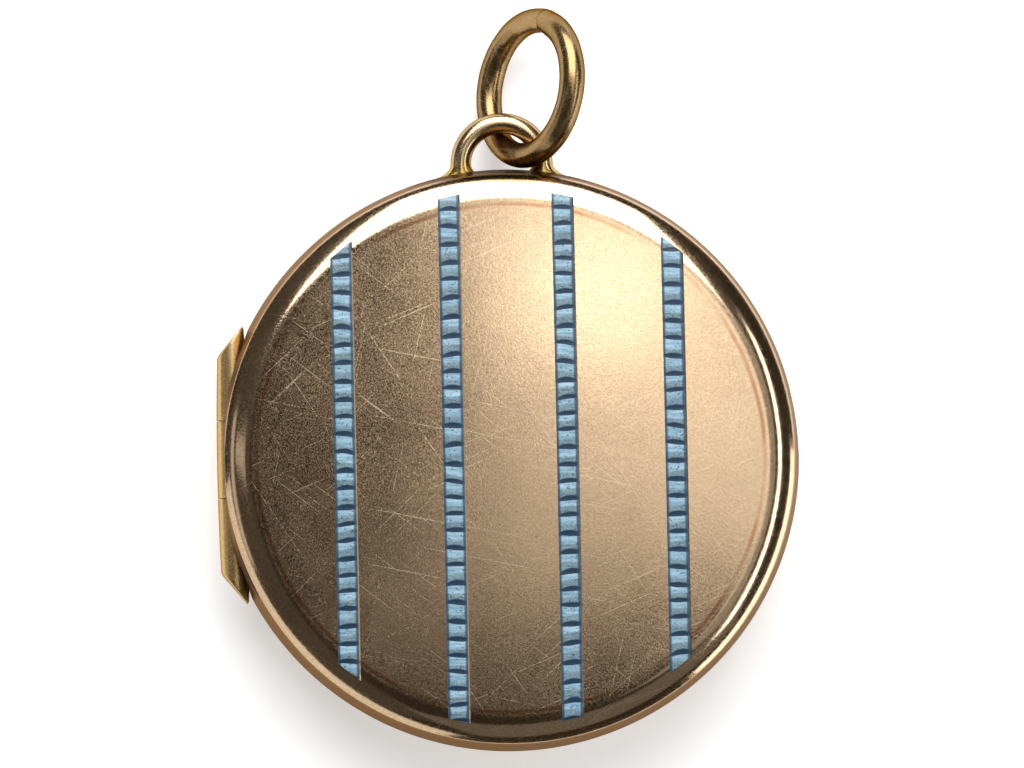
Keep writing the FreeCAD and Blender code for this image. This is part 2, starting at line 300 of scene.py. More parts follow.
def inside_profile(crown):
    """(radius, depth) from the parting plane up the inside of the wall, nearly to the middle."""
    soft = 0.04
    round_start = FACE_EDGE + 0.15
    corner = INNER - round_start
    floor = HALF_THICKNESS - WALL
    line = arc((INNER + soft, PARTING + soft), soft, -math.pi / 2, -math.pi, 4)
    line += arc((round_start, floor - crown - corner), corner, 0, math.pi / 2, 12)
    return line + [(radius, floor - crown * (radius / FACE_EDGE) ** 2) for radius in (10, 7, 4, 2)]


def relief_prism(side):
    """The wedge outside the hinge axis that lets the halves fold back past each other."""
    height = HALF_THICKNESS + 0.3
    far = HINGE_X - 2
    half_length = 6
    outline = [
        (HINGE_X, MID),
        (HINGE_X - RELIEF_SLOPE * height, level(side, height)),
        (far, level(side, height)),
        (far, MID),
    ]
    return prism("relief", outline, -half_length, half_length)


def hinge_tools(side):
    """What the hinge takes out of a half: the relief, its own knuckles' seats and room for the
    others."""
    roomy = BARREL + BARREL_CLEARANCE
    end = BARREL_END + BARREL_CLEARANCE
    if side == FRONT:
        seats = [
            (BARREL, middle_low.y, middle_high.y),
            (roomy, -end, middle_low.y),
            (roomy, middle_high.y, end),
        ]
    else:
        seats = [
            (roomy, lower_high.y, upper_low.y),
            (BARREL, -end, lower_high.y),
            (BARREL, upper_low.y, end),
        ]
    tools = [relief_prism(side)]
    for radius, low, high in seats:
        tools.append(prism("seat", round_outline(radius), low, high))
    return tools


def back_cover_mesh():
    """The back shell: the front's shoulder and wall, lifted to meet a flat face."""
    rise = HALF_THICKNESS - FACE_CROWN - PARTING
    first_bend = 12.1
    line = [(radius, HALF_THICKNESS) for radius in (0, 3, 6, 9, 11.5, FACE_EDGE)]
    line.append((first_bend, face_height(first_bend) + FACE_CROWN))
    for radius, depth in outside_profile():
        line.append((radius, depth + FACE_CROWN * max(depth - PARTING, 0) / rise))
    line += inside_profile(0)
    line.append((0, HALF_THICKNESS - WALL))
    return lathe("back_cover_shape", [(radius, level(BACK, depth)) for radius, depth in line], 360)


def nicked(points):
    """Presses the nail nick into the outside of the front rim, and leaves some wall behind it."""
    middle, half_length, depth = math.radians(7), 1.65, 0.27
    half_width = 0.2
    least_wall = 0.12
    radius = (half_length ** 2 + depth ** 2) / (2 * depth)
    centre = OUTER - depth + radius
    result = []
    for x, y, z in points:
        distance = math.hypot(x, y)
        turn = math.atan2(y, x) - middle
        if distance > INNER + 0.1 and abs(turn) < half_width:
            reach = radius ** 2 - (centre * math.sin(turn)) ** 2
            edge = centre * math.cos(turn) - math.sqrt(max(reach, 0)) if reach > 0 else OUTER
            limit = max(edge, INNER + least_wall)
            if distance > limit:
                x, y = x * limit / distance, y * limit / distance
        result.append((x, y, z))
    return result


def front_columns(count=280):
    """Places across the face, evenly turned round its edge, with the channels' edges among them."""
    even = [-STRIPE_REACH * math.cos(math.pi * k / count) for k in range(1, count)]
    edges = []
    for low, high in stripe_boxes.values():
        edges += [low.x, high.x, high.x + LIP]
    kept = [x for x in even if min(abs(x - edge) for edge in edges) > 0.03]
    return sorted(kept + edges)


class Shell:
    """The points and faces of a mesh that grows step by step."""

    def __init__(self):
        self.points = []
        self.faces = []

    def add(self, x, y, z):
        self.points.append((x, y, z))
        return len(self.points) - 1


def in_channel(a, b):
    """Whether the strip between two columns lies in a channel."""
    return any(low - 1e-4 <= a and b <= high + 1e-4 for low, high in CHANNELS)


def on_edge(x):
    """Whether a column runs along the edge of a channel."""
    return any(abs(x - edge) < 1e-4 for pair in CHANNELS for edge in pair)


def face_points(shell, columns, rows):
    """The points of the face's top and of the channels' floors, by column and row."""
    heights = [math.sin(math.pi / 2 * (2 * k / rows - 1)) for k in range(rows + 1)]
    floor_share = 1 - 0.0002
    top, floor = {}, {}
    for i, x in enumerate(columns):
        reach = math.sqrt(STRIPE_REACH ** 2 - x * x)
        edge = on_edge(x)
        lip = LIP * 0.6 if any(abs(x - high) < 1e-4 for _, high in CHANNELS) else 0
        inside = not edge and any(low < x < high for low, high in CHANNELS)
        for j, v in enumerate(heights):
            y = v * reach
            z = level(FRONT, face_height(math.hypot(x, y)))
            at_end = j in (0, rows)
            if not inside or at_end:
                top[i, j] = shell.add(x, y, z - (0 if at_end else lip))
            if inside or edge:
                floor[i, j] = shell.add(x, y * floor_share, z - CHANNEL_DEPTH)
    return top, floor


def face_strips(shell, columns, rows, top, floor):
    """The strips of the face and of the channels' floors, and the walls that join them."""
    for i in range(len(columns) - 1):
        layer = floor if in_channel(columns[i], columns[i + 1]) else top
        for j in range(rows):
            shell.faces.append((layer[i, j], layer[i + 1, j], layer[i + 1, j + 1], layer[i, j + 1]))
        if layer is floor:
            for j in (0, rows):
                wall = (floor[i, j], floor[i + 1, j], top[i + 1, j], top[i, j])
                shell.faces.append(wall if j else wall[::-1])
    for i, x in enumerate(columns):
        if on_edge(x):
            opens_right = in_channel(x, columns[i + 1])
            for j in range(rows):
                wall = (top[i, j], top[i, j + 1], floor[i, j + 1], floor[i, j])
                shell.faces.append(wall if opens_right else wall[::-1])


def face_outline(shell, last, rows, top):
    """Closes the left and right ends of the face, and returns its outline as a loop of points."""
    tip_height = level(FRONT, face_height(STRIPE_REACH))
    left = shell.add(-STRIPE_REACH, 0, tip_height)
    right = shell.add(STRIPE_REACH, 0, tip_height)
    for j in range(rows):
        shell.faces.append((left, top[0, j], top[0, j + 1]))
        shell.faces.append((right, top[last, j + 1], top[last, j]))
    outline = [right] + [top[i, rows] for i in range(last, -1, -1)] + [left]
    return outline + [top[i, 0] for i in range(last + 1)]


def shell_walls(shell, outline, profile):
    """Turns a profile on from the outline of the face, and closes it in the middle."""
    turn = [math.atan2(shell.points[k][1], shell.points[k][0]) for k in outline]
    count = len(outline)
    previous = outline
    for radius, depth in profile:
        z = level(FRONT, depth)
        ring = [shell.add(radius * math.cos(a), radius * math.sin(a), z) for a in turn]
        for k in range(count):
            following = (k + 1) % count
            shell.faces.append((previous[k], ring[k], ring[following], previous[following]))
        previous = ring
    pole = shell.add(0, 0, level(FRONT, HALF_THICKNESS - WALL))
    for k in range(count):
        shell.faces.append((previous[k], pole, previous[(k + 1) % count]))


def front_cover_mesh(rows=144):
    """The front shell: a face with four channels, joined to the turned shoulder and wall."""
    columns = front_columns()
    shell = Shell()
    top, floor = face_points(shell, columns, rows)
    face_strips(shell, columns, rows, top, floor)
    outline = face_outline(shell, len(columns) - 1, rows, top)
    shell_walls(shell, outline, outside_profile()[1:] + inside_profile(FACE_CROWN))
    return to_mesh("front_cover_shape", nicked(shell.points), shell.faces)


def rim_ring_mesh(side):
    """The ring inside a wall, with its ledge and the snap collar or the groove for it."""
    soft = 0.05
    if side == BACK:
        inner, outer = COLLAR
        feature = [(outer, PARTING), (outer, COLLAR_TIP + soft), (outer - soft, COLLAR_TIP),
                   (inner + soft, COLLAR_TIP), (inner, COLLAR_TIP + soft), (inner, PARTING)]
    else:
        inner, outer = GROOVE
        feature = [(outer, PARTING), (outer, GROOVE_DEPTH), (inner, GROOVE_DEPTH), (inner, PARTING)]
    line = [(LEDGE_OPENING, RIM_DEPTH), (RIM_OUTSIDE, RIM_DEPTH), (RIM_OUTSIDE, PARTING)]
    line += feature
    line += [(RIM_BORE + soft, PARTING), (RIM_BORE, PARTING + soft), (RIM_BORE, LEDGE_DEPTH),
             (LEDGE_OPENING + soft, LEDGE_DEPTH), (LEDGE_OPENING, LEDGE_DEPTH + soft)]
    return outward(lathe("rim_shape", [(radius, level(side, depth)) for radius, depth in line], 300))


def collar_gap_mesh():
    """Clears the snap collar beside the hinge."""
    near, far = -10.5, -14
    low, high = level(BACK, PARTING), level(FRONT, 1)
    outline = [(far, low), (near, low), (near, high), (far, high)]
    return prism("collar_gap", outline, far, -far)


# ---------------------------------------------------------------- hinge and wire

def knuckle_mesh(name, low, high):
    """A length of barrel. An end that reaches the barrel's end is bevelled towards the case."""
    count = 72
    end_soft, seam_soft = 0.16, 0.02
    outside = HINGE_X - BARREL
    ends_low = low < -BARREL_END + 0.1
    ends_high = high > BARREL_END - 0.1
    low_soft = end_soft if ends_low else seam_soft
    high_soft = end_soft if ends_high else seam_soft

    def bevelled(x, limit):
        return min(limit, BARREL_END - BEVEL + (x - outside))

    def ring(share, shrink, inset):
        for k in range(count):
            a = 2 * math.pi * k / count
            x = HINGE_X + (BARREL - shrink) * math.cos(a)
            top = bevelled(x, high) if ends_high else high
            bottom = -bevelled(x, -low) if ends_low else low
            y = bottom + (top - bottom) * share + inset
            radius = (BARREL - shrink) * (1 - BARREL_BOW * (y / BARREL_END) ** 2)
            yield (HINGE_X + radius * math.cos(a), y, MID + radius * math.sin(a))

    quarter = [(1 - math.sin(t), 1 - math.cos(t)) for t in np.linspace(0, math.pi / 2, 7)]
    rings = [(0, low_soft * shrink, low_soft * inset) for shrink, inset in quarter]
    rings += [(share, 0, 0) for share in np.linspace(0, 1, 14)[1:-1]]
    rings += [(1, high_soft * shrink, -high_soft * inset) for shrink, inset in quarter[::-1]]
    points = []
    for share, shrink, inset in rings:
        points += list(ring(share, shrink, inset))
    faces = ring_faces(len(rings), count)
    faces.append(tuple(reversed(range(count))))
    faces.append(tuple(range(len(points) - count, len(points))))
    return outward(to_mesh(name, points, faces))


def foot_radii(height):
    """Half width and half thickness of a leg, which spreads into solder at the case's wall."""
    fillet, steepness, widening = 0.48, 2.4, 0.6
    spread = max(0.0, 1 - height / fillet) ** steepness
    return BAIL_WIRE * (BAIL_SHARE + widening * spread), BAIL_WIRE * BAIL_SHARE


def bail_mesh():
    """The wire loop, with the solder that holds its feet."""
    leg, leg_steps, bend_steps = 0.62, 24, 96
    foot = BAIL_CENTRE.y - leg
    surface = math.sqrt(OUTER ** 2 - BAIL_RADIUS ** 2)
    legs = [foot + leg * k / leg_steps for k in range(leg_steps)]
    path = [(BAIL_RADIUS, y, BAIL_CENTRE.z) for y in legs]
    radii = [foot_radii(y - surface) for y in legs]
    for k in range(bend_steps + 1):
        a = math.pi * k / bend_steps
        y = BAIL_CENTRE.y + BAIL_RADIUS * math.sin(a)
        path.append((BAIL_RADIUS * math.cos(a), y, BAIL_CENTRE.z))
        size = BAIL_WIRE * (BAIL_SHARE + 0.012 * math.sin(3 * a) * math.sin(a))
        radii.append((size, size))
    path += [(-BAIL_RADIUS, y, BAIL_CENTRE.z) for y in reversed(legs)]
    radii += [foot_radii(y - surface) for y in reversed(legs)]
    return outward(tube("bail_shape", path, radii, Vector((0, 0, 1)), 48))


def jump_ring_mesh():
    """A wire ring, closed by a butt joint whose two ends nearly meet. The wire stands out a little
    at the joint, and thins towards its ends."""
    lean = Matrix.Rotation(math.radians(RING_LEAN), 4, "Z")
    turn = lean @ Matrix.Rotation(-math.radians(RING_TILT), 4, "Y")
    joint, gap = math.radians(80), 0.004 / RING_RADIUS
    steps = 260
    path, radii = [], []
    for k in range(steps + 1):
        a = joint + gap / 2 + (2 * math.pi - gap) * k / steps
        from_joint = min(k, steps - k) * 2 * math.pi / steps
        reach = RING_RADIUS + 0.04 * math.exp(-(from_joint / 0.10) ** 2)
        path.append(turn @ Vector((reach * math.cos(a), reach * math.sin(a), 0)) + RING_CENTRE)
        lumps = 0.010 * math.sin(2 * a + 1) + 0.006 * math.sin(7 * a) + 0.004 * math.sin(17 * a + 2)
        thinner = 0.016 * math.exp(-from_joint / 0.012) + 0.04 * math.exp(-(from_joint / 0.12) ** 2)
        size = RING_WIRE * (RING_SHARE + lumps - thinner)
        radii.append((size, size))
    axis = turn @ Vector((0, 0, 1))
    return outward(tube("jump_ring_shape", path, radii, axis, 56))


# ---------------------------------------------------------------- enamel

def cell_lines(low, high, rng):
    """(y, count) up a stripe. The count grows by one over a cell, and the cells differ in length."""
    pitch, spread = 0.815, 0.13
    steps = 10
    span = high.y - low.y
    cells = round(span / pitch)
    sizes = [1 + rng.uniform(-spread, spread) for _ in range(cells)]
    total = sum(sizes)
    marks = [low.y]
    for size in sizes:
        marks.append(marks[-1] + span * size / total)
    lines = []
    for number in range(cells):
        for step in range(steps):
            share = step / steps
            y = marks[number] + (marks[number + 1] - marks[number]) * share
            lines.append((y, number + share))
    return lines + [(marks[-1], float(cells))]


def stripe_height(x, y, u, count):
    """The top of an inlay, with a shallow groove at each bar and along both borders."""
    groove, border_width, bar_width, bar_place = 0.012, 0.03, 0.09, 0.1
    share = count - math.floor(count)
    edge = 1 - math.exp(-min(u, 1 - u) / border_width)
    bar = sum(math.exp(-((share - bar_place - turn) / bar_width) ** 2) for turn in (0, 1))
    relief = -groove * bar * edge - groove * (1 - edge)
    return level(FRONT, face_height(math.hypot(x, y))) - ENAMEL_SINK + relief


def stripe_mesh(name, low, high, seed):
    """One enamel inlay: a low ladder of cells between dark edges. Its UV map runs across the
    stripe in U and counts the cells in V."""
    lines = cell_lines(low, high, random.Random(seed))
    across = [0, 0.03, 0.09, 0.16, 0.3, 0.44, 0.56, 0.7, 0.84, 0.91, 0.97, 1.0]
    rows, columns = len(lines), len(across)
    end_gap, row_gap = 0.004, 0.0015
    points, uvs = [], []
    for row, (wanted, count) in enumerate(lines):
        crowded = row_gap * min(row, rows - 1 - row)
        for u in across:
            x = low.x + (high.x - low.x) * u
            reach = math.sqrt(STRIPE_REACH ** 2 - x * x) - end_gap - crowded
            y = max(-reach, min(reach, wanted))
            points.append((x, y, stripe_height(x, y, u, count)))
            uvs.append((u, count))
    faces = ring_faces(rows, columns, closed_columns=False)
    base = len(points)
    points += [(x, y, z - CHANNEL_DEPTH + ENAMEL_SINK + ENAMEL_LIFT) for x, y, z in points]
    uvs += uvs
    faces += [tuple(reversed([corner + base for corner in face])) for face in faces]
    last = (rows - 1) * columns
    border = [(left, left + columns) for left in range(0, last, columns)]
    border += [(right + columns, right) for right in range(columns - 1, last, columns)]
    border += [(k + 1, k) for k in range(columns - 1)]
    border += [(last + k, last + k + 1) for k in range(columns - 1)]
    faces += [(a, b, b + base, a + base) for a, b in border]
    mesh = bpy.data.meshes.new(name)
    mesh.from_pydata(points, [], faces)
    layer = mesh.uv_layers.new(name="cells")
    for loop in mesh.loops:
        layer.data[loop.index].uv = uvs[loop.vertex_index]
    return outward(mesh)


# ---------------------------------------------------------------- contents

def frame_profile(side):
    """The photo frame: a flat ring, rounded off on the side that shows."""
    shallow, deep = FRAME_SPAN
    soft, bead = 0.12, 0.25
    line = [(FRAME_OPENING, deep), (CONTENTS_RADIUS, deep), (CONTENTS_RADIUS, shallow + soft)]
    line += arc((CONTENTS_RADIUS - soft, shallow + soft), soft, 0, -math.pi / 2, 5)[1:]
    line += arc((FRAME_OPENING + bead, shallow + bead), bead, -math.pi / 2, -math.pi, 6)
    return [(radius, level(side, depth)) for radius, depth in line]


def disc_profile(side, shallow, deep):
    """A disc between two depths, with a slightly softened edge."""
    radius, soft = CONTENTS_RADIUS, 0.03
    line = [(0, shallow), (radius / 2, shallow), (radius - soft, shallow), (radius, shallow + soft),
            (radius, deep - soft), (radius - soft, deep), (radius / 2, deep), (0, deep)]
    return [(distance, level(side, depth)) for distance, depth in line]


# ---------------------------------------------------------------- materials

CASE_GOLD = (0.80, 0.575, 0.36)
HINGE_GOLD = (0.72, 0.49, 0.22)
BAIL_GOLD = (0.66, 0.48, 0.27)
RING_GOLD = (0.41, 0.27, 0.125)
SOLDER_GOLD = (0.72, 0.49, 0.13)
# A darkening for the top of the wall near the bail.
BAIL_TOP_DARK = (0.10, 0.055, 0.012)
# Painted shade for the case's side wall, standing in for the darker floor it reflects.
WALL_PAINTED_SHADE = (0.40, 0.275, 0.18)
DARK_EDGE = (0.38, 0.27, 0.19)
INSIDE_GOLD = (0.80, 0.60, 0.34)
# A paler gold painted onto the fine marks as a glint.
MARK_GLINT_GOLD = (1.0, 0.80, 0.55)
PIT_TONE = (0.16, 0.10, 0.06)
LINE_TONE = (0.45, 0.21, 0.10)

ENAMEL_PALE = ((0.17, 0.36, 0.52), (0.45, 0.67, 0.82))
ENAMEL_DULL = ((0.07, 0.14, 0.18), (0.18, 0.27, 0.30))
ENAMEL_DEEP = (0.14, 0.27, 0.37)
ENAMEL_FROST = (0.62, 0.80, 0.90)
ENAMEL_BAR = (0.010, 0.036, 0.080)
ENAMEL_BORDER = (0.015, 0.06, 0.11)


def scaled(colour, share):
    """A colour times a share, held at full."""
    return tuple(min(1.0, channel * share) for channel in colour)


class Nodes:
    """A short way to add and join shader nodes."""

    def __init__(self, tree):
        self.tree = tree

    def add(self, kind, **settings):
        node = self.tree.nodes.new(kind)
        for name, value in settings.items():
            setattr(node, name, value)
        return node

    def join(self, source, target):
        self.tree.links.new(source, target)

    def math(self, operation, first, second=0.0, third=None, clamp=False):
        node = self.add("ShaderNodeMath", operation=operation, use_clamp=clamp)
        for socket, value in zip(node.inputs, (first, second, third)):
            if value is None:
                continue
            if isinstance(value, (int, float)):
                socket.default_value = value
            else:
                self.join(value, socket)
        return node.outputs[0]

    def place(self):
        return self.add("ShaderNodeTexCoord").outputs["Object"]

    def mapped(self, vector, scale=(1, 1, 1), angle=(0, 0, 0), shift=(0, 0, 0)):
        node = self.add("ShaderNodeMapping")
        node.inputs["Scale"].default_value = scale
        node.inputs["Rotation"].default_value = [math.radians(a) for a in angle]
        node.inputs["Location"].default_value = shift
        self.join(vector, node.inputs["Vector"])
        return node.outputs[0]

    def noise(self, vector, scale, detail=2.0, roughness=0.5, distortion=0.0):
        node = self.add("ShaderNodeTexNoise")
        node.inputs["Scale"].default_value = scale
        node.inputs["Detail"].default_value = detail
        node.inputs["Roughness"].default_value = roughness
        node.inputs["Distortion"].default_value = distortion
        self.join(vector, node.inputs["Vector"])
        return node.outputs[0]

    def span(self, value, low, high, to_low=0.0, to_high=1.0):
        node = self.add("ShaderNodeMapRange", clamp=True)
        self.join(value, node.inputs[0])
        for socket, number in zip(node.inputs[1:5], (low, high, to_low, to_high)):
            socket.default_value = number
        return node.outputs[0]

    def mix(self, share, first, second):
        node = self.add("ShaderNodeMix", data_type="RGBA")
        sockets = (node.inputs[0], node.inputs[6], node.inputs[7])
        for socket, value in zip(sockets, (share, first, second)):
            if isinstance(value, (int, float)):
                socket.default_value = value
            elif isinstance(value, tuple):
                socket.default_value = (*value, 1.0)
            else:
                self.join(value, socket)
        return node.outputs[2]

    def bump(self, height, strength, distance, normal=None):
        node = self.add("ShaderNodeBump")
        node.inputs["Strength"].default_value = strength
        node.inputs["Distance"].default_value = distance
        self.join(height, node.inputs["Height"])
        if normal is not None:
            self.join(normal, node.inputs["Normal"])
        return node.outputs[0]


def new_material(name):
    """A material, a helper for its nodes, and its shader."""
    material = bpy.data.materials.new(name)
    material.use_nodes = True
    tree = material.node_tree
    return material, Nodes(tree), tree.nodes["Principled BSDF"]


def scratches(nodes, place, layers):
    """Fine straight marks. Each layer is (angle, length, width, cut): the millimetres along and
    across a mark, and the share of the pattern above which it shows."""
    total = None
    for number, (angle, length, width, cut) in enumerate(layers):
        scale = (1 / (length * MM), 1 / (width * MM), 1 / (length * MM))
        vector = nodes.mapped(place, (1, 1, 1), (0, 0, angle))
        vector = nodes.mapped(vector, scale, shift=(number * 3.7, number * 1.3, 0))
        field = nodes.noise(vector, 1.0, 0.0)
        marks = nodes.span(field, cut, cut + 0.06)
        total = marks if total is None else nodes.math("MAXIMUM", total, marks)
    return total


# (angle, length, width, cut)
FACE_SCRATCHES = [
    (12, 9.0, 0.070, 0.780),
    (38, 5.0, 0.065, 0.764),
    (57, 8.0, 0.070, 0.780),
    (104, 6.0, 0.065, 0.775),
    (137, 7.0, 0.070, 0.774),
    (158, 4.0, 0.065, 0.764),
]
WIRE_SCRATCHES = [(20, 2.0, 0.09, 0.73), (70, 2.5, 0.09, 0.73), (130, 1.8, 0.09, 0.73)]


def darken_near_bail(nodes, place, cloud, tone):
    """Darkens the top of the wall, where the bail is soldered on and the ring hangs over it."""
    height = nodes.add("ShaderNodeSeparateXYZ")
    nodes.join(place, height.inputs[0])
    reach = nodes.math("MULTIPLY_ADD", cloud, 1.0 * MM, height.outputs["Y"])
    return nodes.mix(nodes.span(reach, 13.15 * MM, 13.5 * MM, 0.0, 0.93), tone, BAIL_TOP_DARK)


def pits(nodes, place, tone):
    """Small dark pits, in some of the cells of a fine pattern."""
    pattern = nodes.add("ShaderNodeTexVoronoi", feature="F1")
    pattern.inputs["Scale"].default_value = 620.0
    nodes.join(place, pattern.inputs["Vector"])
    chosen = nodes.math("GREATER_THAN", pattern.outputs["Color"], 0.62)
    near = nodes.span(pattern.outputs["Distance"], 0.018, 0.035, 1.0, 0.0)
    spot = nodes.math("MULTIPLY", near, chosen)
    return nodes.mix(nodes.math("MULTIPLY", spot, 0.75), tone, PIT_TONE)


def face_line(nodes, place, cloud, radius, tone):
    """A patchy reddish line where the face meets the shoulder."""
    wander = nodes.math("MULTIPLY_ADD", cloud, 0.25 * MM, radius)
    near = nodes.math("ABSOLUTE", nodes.math("SUBTRACT", wander, 11.87 * MM))
    line = nodes.span(near, 0.04 * MM, 0.13 * MM, 1.0, 0.0)
    patchy = nodes.span(nodes.noise(place, 200.0, 3.0), 0.36, 0.56)
    share = nodes.math("MULTIPLY", line, nodes.math("MULTIPLY", patchy, 0.85))
    return nodes.mix(share, tone, LINE_TONE)


def gold(name, colour, smooth, rough, marks, grain_depth=1.5e-6, mark_depth=4e-7, mark_rough=0.10,
         mark_glint_share=0.15, fleck_share=0.25, tint=0.12, edge=(0.75, 0.6, 0.45), edge_shade=0.0,
         case=False, solder=None):
    """Worn gold: satin from fine marks, with soft changes of tone and polish, and a painted glint
    that lightens the marks. Depths are in metres.
    A case has a more polished shoulder, a wall darkened with painted shade, a darker top near the
    bail, and its own pits and line. edge_shade paints shade where the surface turns from the view."""
    material, nodes, shader = new_material(name)
    place = nodes.place()
    cloud = nodes.noise(place, 230.0, 8.0, 0.66)
    grain = nodes.noise(place, 8500.0, 2.0, 0.6)
    crowd = nodes.span(nodes.noise(place, 330.0, 2.0), 0.35, 0.6, 0.3, 1.0)
    fleck = nodes.noise(place, 15000.0, 3.0, 0.75)
    lines = nodes.math("MULTIPLY", scratches(nodes, place, marks), crowd)
    darker, lighter = scaled(colour, 1 - tint), scaled(colour, 1 + tint * 0.5)
    tone = nodes.mix(nodes.span(cloud, 0.3, 0.7), darker, lighter)
    tone = nodes.mix(nodes.span(fleck, 0.36, 0.50, fleck_share, 0.0), tone, scaled(colour, 0.3))
    tone = nodes.mix(nodes.span(grain, 0.35, 0.65, 0.3, 0.0), tone, scaled(colour, 0.5))
    # Painted glint: the marks are lightened towards a paler gold, as if they caught light.
    tone = nodes.mix(nodes.math("MULTIPLY", lines, mark_glint_share), tone, MARK_GLINT_GOLD)
    # Painted shade: the colour darkens where the surface turns away from the view, towards its
    # outline.
    if edge_shade:
        facing = nodes.add("ShaderNodeLayerWeight").outputs["Facing"]
        shade = nodes.span(facing, 0.35, 0.95, 0.0, edge_shade)
        tone = nodes.mix(shade, tone, scaled(colour, 0.15))
    polish = nodes.span(cloud, 0.25, 0.75, smooth, rough)
    distance = nodes.add("ShaderNodeVectorMath", operation="LENGTH")
    nodes.join(nodes.mapped(place, (1, 1, 0)), distance.inputs[0])
    radius = distance.outputs["Value"]
    if solder:
        wander = nodes.math("MULTIPLY_ADD", cloud, 0.6 * MM, radius)
        tone = nodes.mix(nodes.span(wander, 13.6 * MM, 14.5 * MM, 1.0, 0.0), tone, solder)
    if case:
        shoulder = nodes.span(radius, 11.7 * MM, 12.2 * MM)
        wall = nodes.span(radius, (CREASE + 0.02) * MM, (CREASE + 0.10) * MM)
        polish = nodes.math("MULTIPLY", polish, nodes.math("MULTIPLY_ADD", shoulder, -0.3, 1.0))
        polish = nodes.math("MULTIPLY_ADD", wall, 0.22, polish)
        lines = nodes.math("MULTIPLY", lines, nodes.math("MULTIPLY_ADD", shoulder, -0.5, 1.0))
        # Painted shade: the side wall's colour is darkened, for the darker floor it reflects.
        tone = nodes.mix(wall, tone, WALL_PAINTED_SHADE)
        # Darkens the top of the wall near the bail.
        tone = darken_near_bail(nodes, place, cloud, tone)
        tone = pits(nodes, place, tone)
        tone = face_line(nodes, place, cloud, radius, tone)
    nodes.join(tone, shader.inputs["Base Color"])
    worn = nodes.math("ADD", nodes.span(fleck, 0.42, 0.62, -0.04, 0.09), polish)
    final = nodes.math("MULTIPLY_ADD", lines, mark_rough, worn, clamp=True)
    nodes.join(final, shader.inputs["Roughness"])
    shader.inputs["Metallic"].default_value = 1.0
    shader.inputs["Specular Tint"].default_value = (*edge, 1.0)
    swell = nodes.bump(nodes.noise(place, 140.0, 2.0), 1.0, 0.000016)
    fine = nodes.bump(grain, 1.0, grain_depth, swell)
    nodes.join(nodes.bump(lines, 1.0, mark_depth, fine), shader.inputs["Normal"])
    return material


def enamel_material():
    """Translucent blue enamel over a cut ladder: pale cells with fine lines, dark arched bars and
    dark edges."""
    material, nodes, shader = new_material("blue_enamel")
    uv = nodes.add("ShaderNodeUVMap", uv_map="cells")
    split = nodes.add("ShaderNodeSeparateXYZ")
    nodes.join(uv.outputs[0], split.inputs[0])
    place = nodes.place()
    across, along = split.outputs[0], split.outputs[1]
    wander = nodes.noise(place, 900.0, 2.0)
    sway = nodes.noise(place, 500.0, 0.0)
    off_middle = nodes.math("SUBTRACT", across, 0.5)
    skew = nodes.math("MULTIPLY", nodes.math("SUBTRACT", sway, 0.5), off_middle)
    slanted = nodes.math("MULTIPLY_ADD", skew, 0.7, along)
    shaky = nodes.math("SUBTRACT", nodes.math("MULTIPLY_ADD", wander, 0.12, slanted), 0.05)
    share = nodes.math("FRACT", shaky)
    cell = nodes.math("FLOOR", shaky)
    middle = nodes.math("SUBTRACT", across, 0.56)
    arch = nodes.math("MULTIPLY_ADD", nodes.math("MULTIPLY", middle, middle), -0.6, 0.33)
    bar = nodes.span(nodes.math("SUBTRACT", arch, share), -0.02, 0.05)
    light_edge = nodes.span(nodes.math("MULTIPLY_ADD", sway, 0.5, share), 0.78, 0.92)
    random_cell = nodes.add("ShaderNodeTexWhiteNoise", noise_dimensions="1D")
    nodes.join(cell, random_cell.inputs["W"])
    lines = nodes.noise(nodes.mapped(place, (900, 9000, 900)), 1.0, 2.0, 0.6)
    holes = nodes.noise(place, 9000.0, 1.0, 0.5)
    cut = nodes.span(lines, 0.35, 0.65)
    base = nodes.mix(light_edge, nodes.mix(cut, *ENAMEL_DULL), nodes.mix(cut, *ENAMEL_PALE))
    toned = nodes.mix(nodes.math("MULTIPLY", random_cell.outputs[0], 0.45), base, ENAMEL_DEEP)
    frost = nodes.span(nodes.noise(place, 14000.0, 2.0, 0.7), 0.4, 0.62)
    frosted = nodes.mix(nodes.math("MULTIPLY", frost, 0.28), toned, ENAMEL_FROST)
    hole = nodes.math("MULTIPLY", nodes.span(holes, 0.64, 0.72), 0.8)
    pitted = nodes.mix(hole, frosted, ENAMEL_BAR)
    barred = nodes.mix(bar, pitted, ENAMEL_BAR)
    side = nodes.math("MINIMUM", across, nodes.math("SUBTRACT", 1.0, across))
    uneven = nodes.math("MULTIPLY_ADD", wander, 0.08, side)
    border = nodes.span(uneven, 0.13, 0.19, 1.0, 0.0)
    colour = nodes.mix(nodes.math("MULTIPLY", border, 0.85), barred, ENAMEL_BORDER)
    nodes.join(colour, shader.inputs["Base Color"])
    rough = nodes.span(lines, 0.3, 0.7, 0.28, 0.5)
    nodes.join(rough, shader.inputs["Roughness"])
    shader.inputs["Specular IOR Level"].default_value = 0.45
    height = nodes.math("SUBTRACT", nodes.math("MULTIPLY", lines, 0.4), nodes.span(holes, 0.6, 0.75))
    nodes.join(nodes.bump(height, 0.35, 0.00001), shader.inputs["Normal"])
    return material


def window_material():
    """A thin clear sheet, with a few soft marks."""
    material, nodes, shader = new_material("clear_window")
    haze = nodes.noise(nodes.place(), 400.0, 3.0)
    nodes.join(nodes.span(haze, 0.4, 0.75, 0.03, 0.14), shader.inputs["Roughness"])
    shader.inputs["Base Color"].default_value = (0.97, 0.97, 0.95, 1)
    shader.inputs["Transmission Weight"].default_value = 1.0
    shader.inputs["IOR"].default_value = 1.1
    return material


